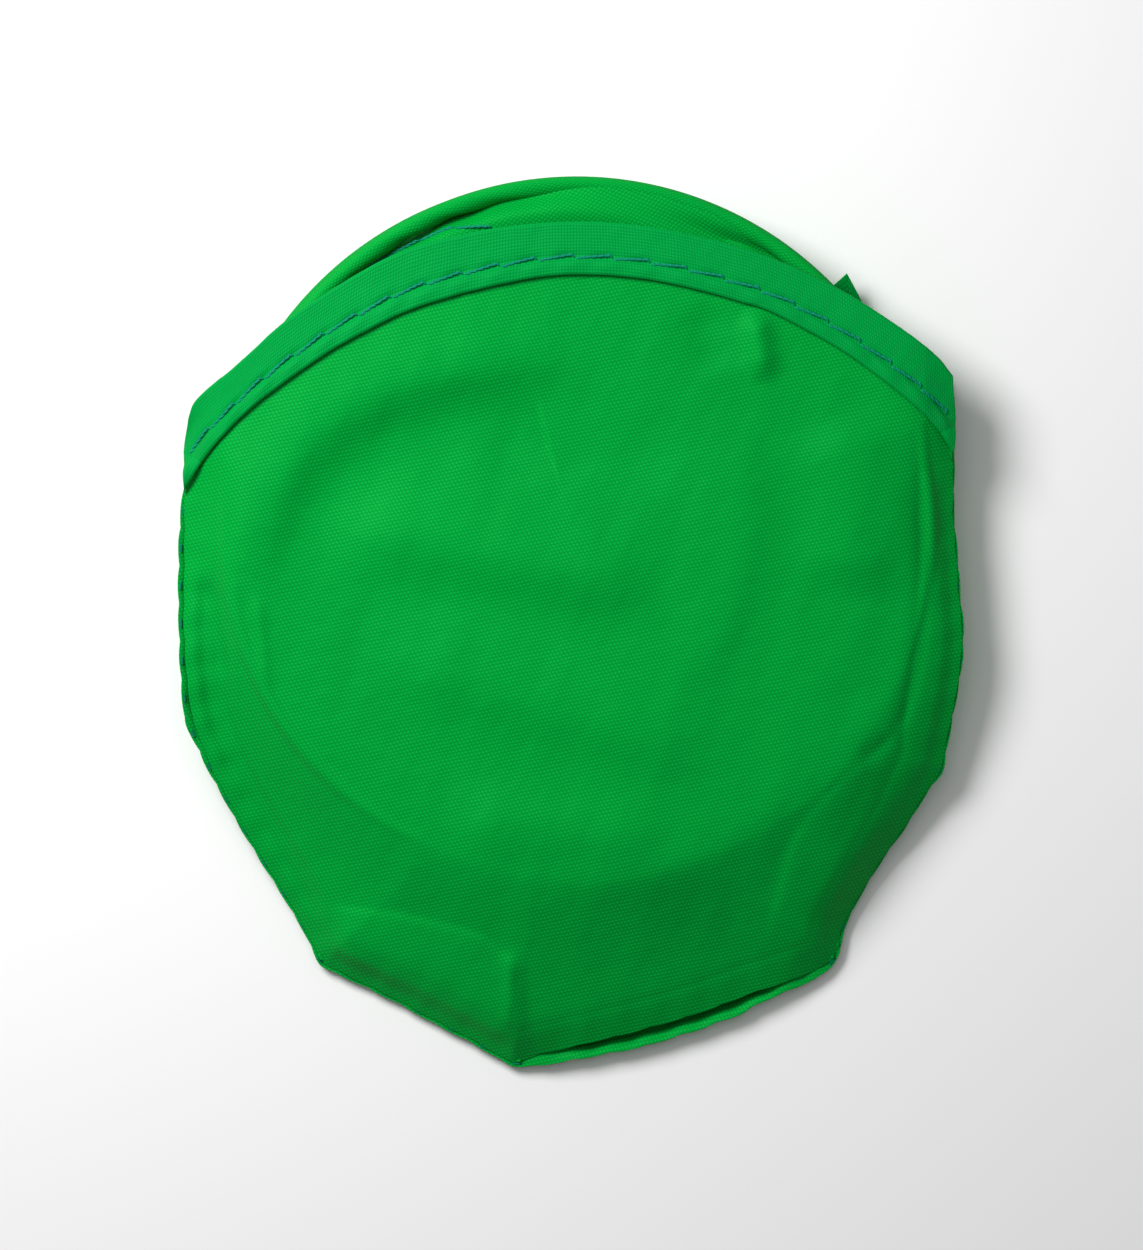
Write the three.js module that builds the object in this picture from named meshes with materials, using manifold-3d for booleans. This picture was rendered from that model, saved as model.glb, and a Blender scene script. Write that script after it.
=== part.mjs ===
// A pop-up rope bag, twist-folded into a disc and stowed in its flat cloth pouch.
// Millimetres, +Z up. The pouch lies on its back: +Y points out of its mouth, +X across it.

import * as THREE from 'three';
import { mergeVertices } from 'three/addons/utils/BufferGeometryUtils.js';
import Module from 'manifold-3d';

const wasm = await Module();
wasm.setup();

// ---------- driving dimensions ----------

const CLOTH = 0.4; // one layer of coated nylon with its slack
const GAP = 0.3; // clearance between pieces that lie against each other

// Pouch outline: the seam from one mouth corner round the bottom to the other.
// The first and last points lie beyond the mouth, so that the sides run straight past it.
const SEAM_CORNERS = [
  [-51.6, 80], [-52.2, 26], [-53.2, 4], [-51.9, -12.8], [-34.2, -46.2], [-6.5, -60.2],
  [16, -55.5], [36.4, -45.4], [50.9, -18.5], [53.1, -1], [52.1, 24], [51.6, 80],
];
const OUTLINE_STEP = 6; // spacing of mesh columns along the outline
const RINGS = [0, 0.35, 0.66, 0.78, 0.86, 0.92, 0.96, 0.985, 1]; // centre to rim, as shares

const FRONT_TOP = 12.2; // height of the front panel over the folded bag
const SEAM_SIDE = 7; // height of the seam beside the folded bag
const SEAM_BOTTOM = 3; // height of the seam where the pouch is empty
const SLOPE_SIDE = 4.3; // width of the sloping wall beside the folded bag
const SLOPE_GROWTH = 0.24; // how much wider it gets for each millimetre towards the bottom

// Mouth: the binding is an arched strip, and its two edges share a centre.
const MOUTH_CENTRE = new THREE.Vector2(2, -18);
const MOUTH_RADIUS = 65; // the binding's lower edge
const BINDING_WIDTH = 7;
const BINDING_THICKNESS = 0.7;
const BINDING_OVERLAP = 4.5; // how far the panel runs up under the binding
const BINDING_ENDS = [-51.7, 51.5]; // x of its two ends, at the mouth corners
const MOUTH_LIFT = 1.75; // height of the back panel over its own binding and stitches
const MOUTH_RAMP = [12, 26]; // where it climbs to that height, measured from the binding's edge
const MOUTH_CORNERS = [new THREE.Vector2(-52.4, 17.4), new THREE.Vector2(51.9, 22.4)];

const THREAD_RADIUS = 0.2;
const STITCH_LENGTH = 5.1;
const STITCH_LINE = 2.4; // from the binding's lower edge
const STITCH_DIP = 0.1; // how far the thread sinks at each needle hole
const STITCH_HEIGHT = 0.65; // how far a stitch stands out of the binding
const SEAM_THREAD_INSET = 1.2; // from the outline

// Folded bag: a spring hoop in a cloth sleeve, folded into three coils round the folded cloth.
const PACK_CENTRE = new THREE.Vector2(0.2, 12.2);
const PACK_RADIUS = 49;
const PACK_BOTTOM = 2.5;
const COILS = 3;
const COIL_SWAY = 1.6; // how far each coil wanders in and out
const COIL_LIFT = 2.8; // how far it wanders up and down
const COIL_STEPS = 40; // mesh steps in each coil
const SLEEVE = { width: 1.5, height: 3.4, wall: 0.3 };
const BAND = { width: 0.5, height: 2.4 };
const FERRULE = { width: 1.5, height: 3.2, hole: 0.9, length: 12 };
const SLEEVE_OPENING = 14; // left in the sleeve, where the hoop goes in
const HOOP_END_GAP = 1; // between the hoop's two ends, inside the ferrule
const WALL_RADIUS = 43;
const WALL_LAYERS = 3;
const WALL_EYE = 5; // radius of the opening in the middle of the folds
const FOLD_WIDTH = 2; // cloth that joins one layer to the next
const BASE_THICKNESS = 0.6;

// ---------- materials ----------

const greenCloth = new THREE.MeshStandardMaterial({ color: 0x03a043, roughness: 0.55, metalness: 0 });
const greenBinding = new THREE.MeshStandardMaterial({ color: 0x049c46, roughness: 0.6, metalness: 0 });
const tealThread = new THREE.MeshStandardMaterial({ color: 0x0a8a78, roughness: 0.5, metalness: 0 });
const springSteel = new THREE.MeshStandardMaterial({ color: 0x8f9499, roughness: 0.35, metalness: 1 });

// ---------- solids and booleans ----------

function bareGeometry(positions, indices) {
  const geometry = new THREE.BufferGeometry();
  geometry.setAttribute('position', new THREE.BufferAttribute(positions, 3));
  geometry.setIndex(indices);
  return geometry;
}

// The same surface with shared corners merged and collapsed triangles dropped, facing out.
function closedSurface(source) {
  const geometry = source.clone();
  geometry.deleteAttribute('normal');
  geometry.deleteAttribute('uv');
  const merged = mergeVertices(geometry, 1e-4);
  const positions = merged.getAttribute('position').array;
  const index = merged.index.array;
  const corner = (i) => new THREE.Vector3().fromArray(positions, 3 * i);
  const kept = [];
  let volume = 0;
  for (let i = 0; i < index.length; i += 3) {
    const [a, b, c] = index.slice(i, i + 3);
    if (a === b || b === c || c === a) continue;
    kept.push(a, b, c);
    volume += corner(a).dot(corner(b).cross(corner(c)));
  }
  if (volume < 0) kept.reverse();
  return bareGeometry(positions, kept);
}

function toSolid(geometry) {
  const surface = closedSurface(geometry);
  return new wasm.Manifold(new wasm.Mesh({
    numProp: 3,
    vertProperties: new Float32Array(surface.getAttribute('position').array),
    triVerts: new Uint32Array(surface.index.array),
  }));
}

function fromSolid(solid) {
  const mesh = solid.getMesh();
  return bareGeometry(new Float32Array(mesh.vertProperties), Array.from(mesh.triVerts));
}

function piece(name, geometry, material) {
  const surface = closedSurface(geometry);
  surface.computeVertexNormals();
  const mesh = new THREE.Mesh(surface, material);
  mesh.name = name;
  return mesh;
}

// Moves every vertex of a geometry to place(x, y, z).
function bend(geometry, place) {
  const position = geometry.getAttribute('position');
  for (let i = 0; i < position.count; i += 1) {
    const moved = place(position.getX(i), position.getY(i), position.getZ(i), i);
    position.setXYZ(i, moved.x, moved.y, moved.z);
  }
  return geometry;
}

// ---------- shape of the pouch ----------

const corners = SEAM_CORNERS.map(([x, y]) => new THREE.Vector2(x, y));

function seamDistance(point) {
  let nearest = Infinity;
  for (let i = 1; i < corners.length; i += 1) {
    const edge = new THREE.Vector2().subVectors(corners[i], corners[i - 1]);
    const offset = new THREE.Vector2().subVectors(point, corners[i - 1]);
    const along = THREE.MathUtils.clamp(offset.dot(edge) / edge.lengthSq(), 0, 1);
    nearest = Math.min(nearest, offset.addScaledVector(edge, -along).length());
  }
  return nearest;
}

// The seam stays at mid height beside the folded bag and drops where the pouch is empty.
function seamHeight(y) {
  const drop = THREE.MathUtils.smoothstep(-y, 5, 45);
  return THREE.MathUtils.lerp(SEAM_SIDE, SEAM_BOTTOM, drop);
}

// How far a panel has climbed from the seam (0) to its level middle (1).
// The inner face is the outer one moved in by the thickness of the cloth.
function climb(point, inset) {
  const width = SLOPE_SIDE + SLOPE_GROWTH * Math.max(0, 5 - point.y) - inset;
  const share = THREE.MathUtils.clamp((seamDistance(point) - inset) / width, 0, 1);
  return Math.sin((share * Math.PI) / 2);
}

function frontHeight(point, inset = 0) {
  const seam = seamHeight(point.y) + GAP / 2;
  return THREE.MathUtils.lerp(seam, FRONT_TOP - inset, climb(point, inset));
}

// The back panel is level on the ground, and steps up onto its own stitched binding at the mouth.
function backHeight(point, inset = 0) {
  const fromMouth = MOUTH_RADIUS - point.distanceTo(MOUTH_CENTRE);
  const lift = MOUTH_LIFT * (1 - THREE.MathUtils.smoothstep(fromMouth, ...MOUTH_RAMP));
  const seam = seamHeight(point.y) - GAP / 2;
  return THREE.MathUtils.lerp(seam, lift + inset, climb(point, inset));
}

// Unit normal of a height field, facing away from the folded bag.
function outward(height, point) {
  const step = 0.05;
  const east = height(new THREE.Vector2(point.x + step, point.y));
  const west = height(new THREE.Vector2(point.x - step, point.y));
  const north = height(new THREE.Vector2(point.x, point.y + step));
  const south = height(new THREE.Vector2(point.x, point.y - step));
  const normal = new THREE.Vector3((west - east) / (2 * step), (south - north) / (2 * step), 1);
  return normal.normalize().multiplyScalar(height === frontHeight ? 1 : -1);
}

function outlinePoints() {
  const points = [];
  corners.forEach((corner, i) => {
    const next = corners[(i + 1) % corners.length];
    const count = Math.max(1, Math.round(corner.distanceTo(next) / OUTLINE_STEP));
    for (let k = 0; k < count; k += 1) points.push(corner.clone().lerp(next, k / count));
  });
  return points;
}

// A whole panel, with its sides running on past the mouth: a lathed double skin,
// whose columns are then stretched to the outline and whose two skins get their heights.
function panelGeometry(height) {
  const outline = outlinePoints();
  const outer = RINGS.map((share) => new THREE.Vector2(share, 0));
  const inner = [...outer].reverse().map(({ x }) => new THREE.Vector2(x, -1));
  const profile = [...outer, ...inner];
  const lathe = new THREE.LatheGeometry(profile, outline.length);
  return bend(lathe, (x, y, z, i) => {
    const rim = outline[Math.floor(i / profile.length) % outline.length];
    const skin = profile[i % profile.length];
    const inset = skin.y < 0 ? CLOTH : 0;
    const point = rim.clone().multiplyScalar(skin.x * (1 - inset / rim.length()));
    return new THREE.Vector3(point.x, point.y, height(point, inset));
  });
}

// A tall prism over a flat outline, to cut panels with.
function cutter(shape) {
  const depth = 60;
  return toSolid(new THREE.ExtrudeGeometry(shape, { depth, bevelEnabled: false, curveSegments: 48 })
    .translate(0, 0, -depth / 3));
}

// Everything inside the arched mouth edge of the panels.
function insideMouth() {
  const radius = MOUTH_RADIUS + BINDING_OVERLAP;
  const shape = new THREE.Shape();
  shape.moveTo(MOUTH_CENTRE.x + radius, -90);
  shape.lineTo(MOUTH_CENTRE.x + radius, MOUTH_CENTRE.y);
  shape.absarc(MOUTH_CENTRE.x, MOUTH_CENTRE.y, radius, 0, Math.PI, false);
  shape.lineTo(MOUTH_CENTRE.x - radius, -90);
  return cutter(shape);
}

// The half plane on one side of the fold between the mouth corners: +1 towards the mouth.
function besideFold(side) {
  const [left, right] = MOUTH_CORNERS;
  const along = right.clone().sub(left).normalize();
  const across = new THREE.Vector2(-along.y, along.x).multiplyScalar(side);
  const start = left.clone().addScaledVector(along, -20).addScaledVector(across, GAP / 2);
  const end = right.clone().addScaledVector(along, 20).addScaledVector(across, GAP / 2);
  const shape = new THREE.Shape([
    start, end, end.clone().addScaledVector(across, 100), start.clone().addScaledVector(across, 100),
  ]);
  return cutter(shape);
}

function pouchPanels() {
  const mouth = insideMouth();
  const front = toSolid(panelGeometry(frontHeight)).intersect(mouth);
  const back = toSolid(panelGeometry(backHeight)).intersect(mouth);
  return [
    piece('pouch_back_panel', fromSolid(back), greenCloth),
    piece('pouch_front_panel', fromSolid(front.intersect(besideFold(-1))), greenCloth),
    piece('front_mouth_lip', fromSolid(front.intersect(besideFold(1))), greenCloth),
  ];
}

// ---------- bindings and threads of the pouch ----------

// A place on the mouth: along from its left end (0) to its right (1), across from the
// binding's lower edge, and above the panel's outer face.
function mouthPlace(height, along, across, above) {
  const radius = MOUTH_RADIUS + across;
  const [left, right] = BINDING_ENDS.map((x) => Math.acos((x - MOUTH_CENTRE.x) / radius));
  const angle = THREE.MathUtils.lerp(left, right, along);
  const point = new THREE.Vector2(Math.cos(angle), Math.sin(angle)).multiplyScalar(radius).add(MOUTH_CENTRE);
  const place = new THREE.Vector3(point.x, point.y, height(point));
  return place.addScaledVector(outward(height, point), above);
}

function binding(name, height) {
  const chamfer = 0.2;
  const top = GAP + BINDING_THICKNESS;
  const section = new THREE.Shape([
    new THREE.Vector2(0, GAP), new THREE.Vector2(BINDING_WIDTH, GAP),
    new THREE.Vector2(BINDING_WIDTH, top - chamfer), new THREE.Vector2(BINDING_WIDTH - chamfer, top),
    new THREE.Vector2(chamfer, top), new THREE.Vector2(0, top - chamfer),
  ]);
  const strip = new THREE.ExtrudeGeometry(section, { depth: 1, steps: 44, bevelEnabled: false });
  return piece(name, bend(strip, (x, y, z) => mouthPlace(height, z, x, y)), greenBinding);
}

function threadGeometry(points, steps) {
  const sides = 6;
  const section = new THREE.Shape(Array.from({ length: sides }, (_, i) => {
    const angle = (2 * Math.PI * i) / sides;
    return new THREE.Vector2(Math.cos(angle), Math.sin(angle)).multiplyScalar(THREAD_RADIUS);
  }));
  return new THREE.ExtrudeGeometry(section, { steps, extrudePath: new THREE.CatmullRomCurve3(points) });
}

function bindingStitching(name, height) {
  const stitches = Math.round((2 * BINDING_ENDS[1]) / STITCH_LENGTH);
  const above = GAP + BINDING_THICKNESS + STITCH_HEIGHT - THREAD_RADIUS;
  const points = [];
  for (let i = 0; i <= 2 * stitches; i += 1) {
    const along = THREE.MathUtils.lerp(0.03, 0.97, i / (2 * stitches));
    points.push(mouthPlace(height, along, STITCH_LINE, above - (i % 2) * STITCH_DIP));
  }
  return piece(name, threadGeometry(points, 2 * stitches), tealThread);
}

// The seam's thread runs just inside the outline, between the two panels.
function seamStitching() {
  const centre = new THREE.Vector2(0, 0);
  const points = outlinePoints()
    .filter((point) => point.y < MOUTH_CORNERS[0].y)
    .map((point) => point.clone().lerp(centre, SEAM_THREAD_INSET / point.length()))
    .map((point) => new THREE.Vector3(point.x, point.y, seamHeight(point.y)));
  return piece('seam_stitching', threadGeometry(points, 2 * points.length), tealThread);
}

// ---------- folded bag ----------

const packMiddle = PACK_BOTTOM + COIL_LIFT + SLEEVE.height / 2;
const coilRadius = PACK_RADIUS - COIL_SWAY - SLEEVE.width / 2;
const hoopLength = 2 * Math.PI * COILS * coilRadius;

// The hoop's centreline. It goes round three times before it closes, and each time it is
// a third of the way further round a flat oval in the section of the coil.
// inward moves the whole line towards the middle of the coils.
class CoilLine extends THREE.Curve {
  constructor(start, end, inward = 0) {
    super();
    this.start = start;
    this.end = end;
    this.inward = inward;
  }

  getPoint(share, target = new THREE.Vector3()) {
    const angle = THREE.MathUtils.lerp(this.start, this.end, share) / coilRadius;
    const phase = angle / COILS;
    const radius = coilRadius + COIL_SWAY * Math.cos(phase) - this.inward;
    const heading = angle - Math.PI / 2;
    return target.set(
      PACK_CENTRE.x + radius * Math.cos(heading),
      PACK_CENTRE.y + radius * Math.sin(heading),
      packMiddle + COIL_LIFT * Math.sin(phase),
    );
  }

  // Sections stand upright: their first direction is radial and their second vertical.
  computeFrenetFrames(segments) {
    const frames = { tangents: [], normals: [], binormals: [] };
    for (let i = 0; i <= segments; i += 1) {
      const point = this.getPointAt(i / segments);
      frames.tangents.push(this.getTangentAt(i / segments));
      frames.normals.push(new THREE.Vector3(point.x - PACK_CENTRE.x, point.y - PACK_CENTRE.y, 0).normalize());
      frames.binormals.push(new THREE.Vector3(0, 0, -1));
    }
    return frames;
  }
}

function rectangle(path, width, height) {
  path.moveTo(-width / 2, -height / 2);
  path.lineTo(width / 2, -height / 2);
  path.lineTo(width / 2, height / 2);
  path.lineTo(-width / 2, height / 2);
  path.closePath();
  return path;
}

function alongCoil(section, start, end, inward = 0) {
  const steps = Math.max(6, Math.round((COILS * COIL_STEPS * (end - start)) / hoopLength));
  const extrudePath = new CoilLine(start, end, inward);
  return new THREE.ExtrudeGeometry(section, { steps, extrudePath });
}

function springHoop() {
  const section = rectangle(new THREE.Shape(), BAND.width, BAND.height);
  const end = HOOP_END_GAP / 2;
  return piece('spring_hoop', alongCoil(section, end, hoopLength - end), springSteel);
}

function hoopFerrule() {
  const section = rectangle(new THREE.Shape(), FERRULE.width, FERRULE.height);
  const hole = { width: FERRULE.hole, height: SLEEVE.height - 2 * SLEEVE.wall };
  section.holes.push(rectangle(new THREE.Path(), hole.width, hole.height));
  return piece('hoop_ferrule', alongCoil(section, -FERRULE.length / 2, FERRULE.length / 2), springSteel);
}

function hoopSleeve() {
  const section = rectangle(new THREE.Shape(), SLEEVE.width, SLEEVE.height);
  const inside = 2 * SLEEVE.wall;
  section.holes.push(rectangle(new THREE.Path(), SLEEVE.width - inside, SLEEVE.height - inside));
  const end = SLEEVE_OPENING / 2;
  return piece('hoop_sleeve', alongCoil(section, end, hoopLength - end), greenCloth);
}

// One line of thread along the inner side of the sleeve closes it round the hoop.
function sleeveStitching() {
  const side = 2 * THREAD_RADIUS;
  const section = rectangle(new THREE.Shape(), side, side);
  const inward = SLEEVE.width / 2 + GAP + THREAD_RADIUS;
  const end = SLEEVE_OPENING / 2;
  return piece('sleeve_stitching', alongCoil(section, end, hoopLength - end, inward), tealThread);
}

function turned(name, profile) {
  const points = profile.map(([x, y]) => new THREE.Vector2(x, y));
  const lathe = new THREE.LatheGeometry(points, 40).rotateX(Math.PI / 2);
  lathe.translate(PACK_CENTRE.x, PACK_CENTRE.y, 0);
  return piece(name, lathe, greenCloth);
}

function bagBasePanel() {
  const low = PACK_BOTTOM;
  const high = low + BASE_THICKNESS;
  const middle = (low + high) / 2;
  return turned('bag_base_panel', [
    [0, low], [WALL_RADIUS - GAP, low], [WALL_RADIUS, middle], [WALL_RADIUS - GAP, high], [0, high],
  ]);
}

// The bag's wall lies in level layers, joined by turns at the rim and at the eye.
function bagWall() {
  const bottom = PACK_BOTTOM + BASE_THICKNESS + GAP;
  const top = packMiddle + COIL_LIFT + SLEEVE.height / 2 - GAP;
  const layer = (top - bottom - (WALL_LAYERS - 1) * GAP) / WALL_LAYERS;
  const second = bottom + layer + GAP;
  const third = second + layer + GAP;
  return turned('bag_wall', [
    [WALL_EYE, bottom], [WALL_RADIUS, bottom], [WALL_RADIUS, second + layer],
    [WALL_EYE + FOLD_WIDTH, second + layer], [WALL_EYE + FOLD_WIDTH, third], [WALL_RADIUS, third],
    [WALL_RADIUS, top], [WALL_EYE, top], [WALL_EYE, second],
    [WALL_RADIUS - FOLD_WIDTH, second], [WALL_RADIUS - FOLD_WIDTH, bottom + layer],
    [WALL_EYE, bottom + layer], [WALL_EYE, bottom],
  ]);
}

// ---------- the whole object ----------

const bag = new THREE.Group();
bag.name = 'stowed_rope_bag';

const pouch = new THREE.Group();
pouch.add(
  ...pouchPanels(),
  binding('back_mouth_binding', backHeight),
  binding('front_mouth_binding', frontHeight),
  bindingStitching('back_binding_stitching', backHeight),
  bindingStitching('front_binding_stitching', frontHeight),
  seamStitching(),
);

const foldedBag = new THREE.Group();
foldedBag.add(springHoop(), hoopFerrule(), hoopSleeve(), sleeveStitching(), bagWall(), bagBasePanel());

bag.add(pouch, foldedBag);

// The origin is the middle of the object's base.
const bounds = new THREE.Box3().setFromObject(bag);
const middle = bounds.getCenter(new THREE.Vector3());
bag.position.set(-middle.x, -middle.y, -bounds.min.z);

export default bag;
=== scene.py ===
"""A pop-up rope bag, twist-folded into a disc and stowed in its flat cloth pouch.

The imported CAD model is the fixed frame, and the cloth, stitching and finishes are made here.
Lengths below are in millimetres in the CAD frame: +X across the pouch, +Y out of its mouth
and +Z up from the surface that it lies on. They become metres when a mesh is made.
"""

import math

import bpy
import numpy as np
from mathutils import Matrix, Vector


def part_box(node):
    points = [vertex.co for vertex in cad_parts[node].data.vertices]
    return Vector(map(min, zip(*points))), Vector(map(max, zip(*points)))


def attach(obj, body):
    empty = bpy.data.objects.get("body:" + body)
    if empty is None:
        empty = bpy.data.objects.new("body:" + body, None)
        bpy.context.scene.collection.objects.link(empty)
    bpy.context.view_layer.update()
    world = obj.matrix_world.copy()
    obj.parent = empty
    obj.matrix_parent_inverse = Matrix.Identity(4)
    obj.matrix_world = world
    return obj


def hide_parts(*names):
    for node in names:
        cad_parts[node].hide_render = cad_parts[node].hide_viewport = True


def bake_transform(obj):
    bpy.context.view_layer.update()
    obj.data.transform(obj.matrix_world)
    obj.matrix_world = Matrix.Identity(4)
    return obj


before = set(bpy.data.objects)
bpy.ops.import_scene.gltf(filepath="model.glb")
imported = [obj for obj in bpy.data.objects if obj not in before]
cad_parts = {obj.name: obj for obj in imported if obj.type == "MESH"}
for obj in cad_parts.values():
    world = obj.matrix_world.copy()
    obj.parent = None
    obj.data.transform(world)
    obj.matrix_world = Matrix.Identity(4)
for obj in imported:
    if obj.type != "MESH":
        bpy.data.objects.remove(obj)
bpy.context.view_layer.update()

MM = 0.001


def box_mm(node):
    """Lowest and highest corner of a CAD node, in millimetres."""
    low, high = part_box(node)
    return np.array(low) / MM, np.array(high) / MM


# ---------- places taken from the frame ----------

PACK_LOW, PACK_HIGH = box_mm("bag_wall")
PACK_CENTRE = (PACK_LOW + PACK_HIGH) / 2
SLEEVE_LOW, SLEEVE_HIGH = box_mm("hoop_sleeve")
HOOP_LOW, HOOP_HIGH = box_mm("spring_hoop")
HOOP_RADIUS = (HOOP_HIGH[0] - HOOP_LOW[0]) / 2
FRONT_TOP = box_mm("pouch_front_panel")[1][2]
MID_LEVEL = (SLEEVE_LOW[2] + SLEEVE_HIGH[2]) / 2  # of the folded bag

# ---------- driving dimensions ----------

CLOTH = 0.25  # thickness of one layer of coated nylon
STITCH = 5.1  # length of one machine stitch
WEAVE = (0.41, 0.29)  # pitch of the weave along and across its grain
PANEL_GRAIN = math.radians(-23)  # how far the panels' grain is turned
BAG_GRAIN = math.radians(12)
BIAS_WEAVE = (0.29, 0.29)
BIAS_GRAIN = math.radians(-45)  # the binding is cut across the grain

# Each panel's mesh spreads from here in rings.
PANEL_MIDDLE = np.array([0.0, -4.0])
SEAM_POINTS = 480
MOUTH_POINTS = 300

# Seam of the front panel, from the left mouth corner round the bottom to the right one.
FRONT_SEAM = [
    (-52.3, 18.2), (-52.3, 9), (-52.4, 0), (-52.0, -7), (-51.3, -12.6), (-48.6, -19.8), (-44.9, -26.8),
    (-41.8, -32), (-38.6, -37.2), (-36.1, -41.6), (-33.9, -46), (-30, -48), (-24, -50.9), (-18.8, -53.7),
    (-13.4, -56.5), (-8, -59.7), (-6.4, -59.1), (-3.6, -58.2), (1.5, -57.0), (8.4, -55.3), (14.6, -53.6),
    (19.7, -51.9), (24.2, -50.1), (30.4, -48.1), (35.2, -46.0), (36.4, -43.6), (36.6, -41.4), (39.0, -37),
    (42, -32), (45.5, -27), (48.2, -22.3), (50, -20), (50.9, -15), (51.9, -10), (52.6, -5), (52.8, -0.5),
    (52.3, 4), (52, 9), (51.5, 15), (51.6, 23.4),
]
# The back panel shows past it as a narrow lip on the left, and a wider one at the lower right.
BACK_SEAM = [
    (-52.5, 18.2), (-53, 12), (-53.1, 4), (-52.9, -5), (-52.4, -12.9), (-49.0, -20), (-45.2, -27),
    (-42.1, -32.2), (-39.0, -37.2), (-36.3, -41.8), (-34.2, -46.4), (-30, -48.3), (-24, -51.2), (-19, -54),
    (-13.6, -56.8), (-8, -60.1), (-4.7, -60), (2, -58.8), (9.4, -57.4), (17, -55.1), (23.5, -52.7),
    (25.2, -51.5), (28.3, -50.2), (33.9, -47.8), (35.6, -46.2), (36.7, -44.2), (36.9, -41.6), (39.1, -37),
    (42.1, -32), (45.6, -27), (48.4, -22.3), (50.3, -20), (51.1, -15), (52.0, -10), (52.8, -5),
    (53.0, -0.5), (52.5, 4), (52.2, 9), (51.6, 15), (51.7, 23.4),
]

# Arched binding of the mouth: its two edges, from the left corner to the right one.
BINDING_LOW = [
    (-52.3, 18.0), (-49.6, 21.9), (-46.3, 25.8), (-42.4, 29.6), (-36, 34.3), (-30.2, 38.0), (-20.5, 42.7),
    (-6.9, 46.3), (2.6, 47.1), (13.4, 45.9), (25, 42.7), (31.7, 39.6), (38.5, 35.5), (46.8, 28.9),
    (51.6, 23.4),
]
BINDING_HIGH = [
    (-51.5, 28.3), (-50.4, 30.6), (-46.3, 33.9), (-42.8, 37.0), (-38.6, 40.8), (-31.2, 45.8),
    (-22.5, 50.4), (-10.9, 53.3), (1.5, 54.3), (13.4, 53.1), (25, 50.1), (35, 45.8), (43.5, 40.6),
    (48.9, 36.5), (51.3, 33.8),
]
BINDING_WIDTH = 7.0
BINDING_THICKNESS = 0.75
BINDING_GAP = 0.15  # between the strip and the panel
TOPSTITCH_LINE = 2.4  # from the binding's lower edge
THREAD_LIFT = 0.1  # of the stitches above the strip's face
PANEL_UNDER_BINDING = 4.0
# The stray corner of the back binding: its share of the way along the mouth, half its width
# as a share, and its height.
DOG_EAR_PLACE = 0.852
DOG_EAR_HALF_WIDTH = 0.026
DOG_EAR_HEIGHT = 2.8

# Folded bag
COILS = 3
COIL_SWAY = 1.6  # how far the coils swing out and in
COIL_LIFT = 2.8  # and up and down
BAND_HALF = 0.25  # half the thickness of the hoop's band
SLEEVE_OUTER = 0.75  # how far the sleeve stands out from the coils' centreline
SLEEVE_INNER = 1.2  # and how far in
SLEEVE_HALF_HEIGHT = 1.55
GROOVE_RADIUS = 46.6  # where the folded cloth ends beside the coils at the mouth
# Heading in degrees and radius of the sleeve's seam, which runs in under the cloth at the mouth.
SLEEVE_SEAM = [(96, 41), (105, 42.9), (112, 44.6), (120, 45.0), (129, 45.7), (138, 46.2), (282, 46.2)]
TOP_FOLDS = 0.4  # turns the pattern of folds in the top of the folded cloth
BASE_FOLDS = 2.1  # and in its base
PACK_EDGE = 47.2  # radius where the front panel starts to sink past the folded bag
PACK_SIDE_SHARE = 0.88  # share of the way from its middle to its edge where the cloth turns down


# ---------- curves and heights ----------


def smoothstep(low, high, value):
    """0 up to low and 1 from high, with a smooth rise between."""
    share = np.clip((value - low) / (high - low), 0, 1)
    return share * share * (3 - 2 * share)


def mix(a, b, share):
    """a where share is 0, b where it is 1, and in proportion between."""
    return a + (b - a) * share


def spaced(points, count):
    """The polyline again, as count points evenly spaced along it."""
    points = np.array(points, float)
    steps = np.linalg.norm(np.diff(points, axis=0), axis=1)
    along = np.concatenate([[0], np.cumsum(steps)])
    at = np.linspace(0, along[-1], count)
    return np.stack([np.interp(at, along, points[:, k]) for k in range(points.shape[1])], axis=1)


def length_of(points):
    return float(np.linalg.norm(np.diff(np.array(points, float), axis=0), axis=1).sum())


def rounded(points, count, radius):
    """Evenly spaced points with the corners eased over about radius."""
    line = spaced(points, count)
    reach = max(1, int(round(radius / (length_of(points) / (count - 1)))))
    weights = np.hanning(2 * reach + 3)[1:-1]
    weights /= weights.sum()
    padded = np.concatenate([
        2 * line[0] - line[reach:0:-1], line, 2 * line[-1] - line[-2:-reach - 2:-1],
    ])
    return np.stack([np.convolve(padded[:, k], weights, "valid") for k in range(line.shape[1])], axis=1)


def smooth_curve(points, count):
    """A Catmull-Rom curve through the points."""
    points = np.array(points, float)
    knots = np.concatenate([[2 * points[0] - points[1]], points, [2 * points[-1] - points[-2]]])
    at = np.linspace(0, len(points) - 1 - 1e-9, max(count * 4, 64))
    i = at.astype(int)
    t = (at - i)[:, None]
    p0, p1, p2, p3 = knots[i], knots[i + 1], knots[i + 2], knots[i + 3]
    curve = 0.5 * (2 * p1 + (p2 - p0) * t + (2 * p0 - 5 * p1 + 4 * p2 - p3) * t**2
                   + (3 * p1 - p0 - 3 * p2 + p3) * t**3)
    return spaced(curve, count)


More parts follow.
